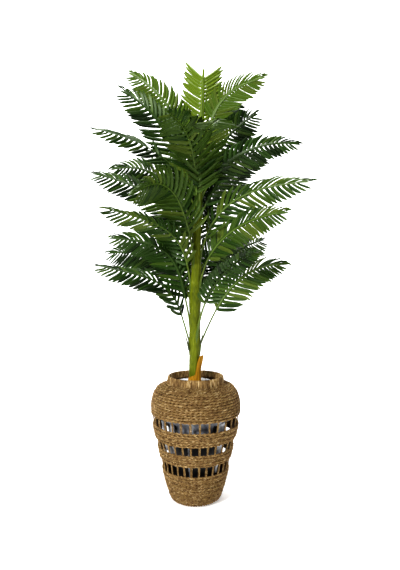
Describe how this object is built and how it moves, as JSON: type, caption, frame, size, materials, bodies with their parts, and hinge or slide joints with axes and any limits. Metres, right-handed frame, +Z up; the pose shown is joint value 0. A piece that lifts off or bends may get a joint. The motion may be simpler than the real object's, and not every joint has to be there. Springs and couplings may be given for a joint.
{
  "type": "artificial areca palm in a basket",
  "caption": "Artificial areca palm with arching feather-shaped fronds on a slim green trunk, standing in a tall woven seagrass basket with open stake bands.",
  "frame": {"origin": "centre of the basket's flat underside", "axes": "+Z up along the plant, -Y towards the viewer of the picture, +X to the right"},
  "size_m": [0.9119, 0.8028, 1.8303],
  "materials": {
    "seagrass": "matt woven seagrass",
    "pot_plastic": "black nursery pot",
    "film": "crumpled packing film",
    "trunk_green": "satin olive green",
    "dry_sheath": "ochre, matt",
    "sheath_tip": "dark green, matt",
    "leaf_dark": "satin dark green",
    "leaf_young": "satin yellow green"
  },
  "bodies": {
    "root": {"basket_body": "seagrass", "basket_collar": "seagrass", "nursery_pot": "pot_plastic", "film_packing": "film", "trunk": "trunk_green", "foot_sheath": "dry_sheath", "sheath_tip_left": "sheath_tip", "sheath_tip_right": "sheath_tip", "frond_01": "leaf_dark", "frond_02": "leaf_dark", "frond_03": "leaf_dark", "frond_04": "leaf_dark", "frond_05": "leaf_dark", "frond_06": "leaf_dark", "frond_07": "leaf_dark", "frond_08": "leaf_dark", "frond_09": "leaf_dark", "frond_10": "leaf_dark", "frond_11": "leaf_dark", "frond_12": "leaf_dark", "frond_13": "leaf_dark", "frond_14": "leaf_dark", "frond_15": "leaf_dark", "frond_16": "leaf_dark", "frond_17": "leaf_dark", "frond_18": "leaf_dark", "frond_19": "leaf_dark", "frond_20": "leaf_dark", "frond_21": "leaf_dark", "frond_22": "leaf_dark", "frond_23": "leaf_dark", "frond_24": "leaf_dark", "frond_25": "leaf_dark", "frond_26": "leaf_dark", "frond_27": "leaf_dark", "frond_28": "leaf_dark", "frond_29": "leaf_young", "frond_30": "leaf_young", "frond_31": "leaf_young", "frond_32": "leaf_dark"}
  },
  "joints": []
}
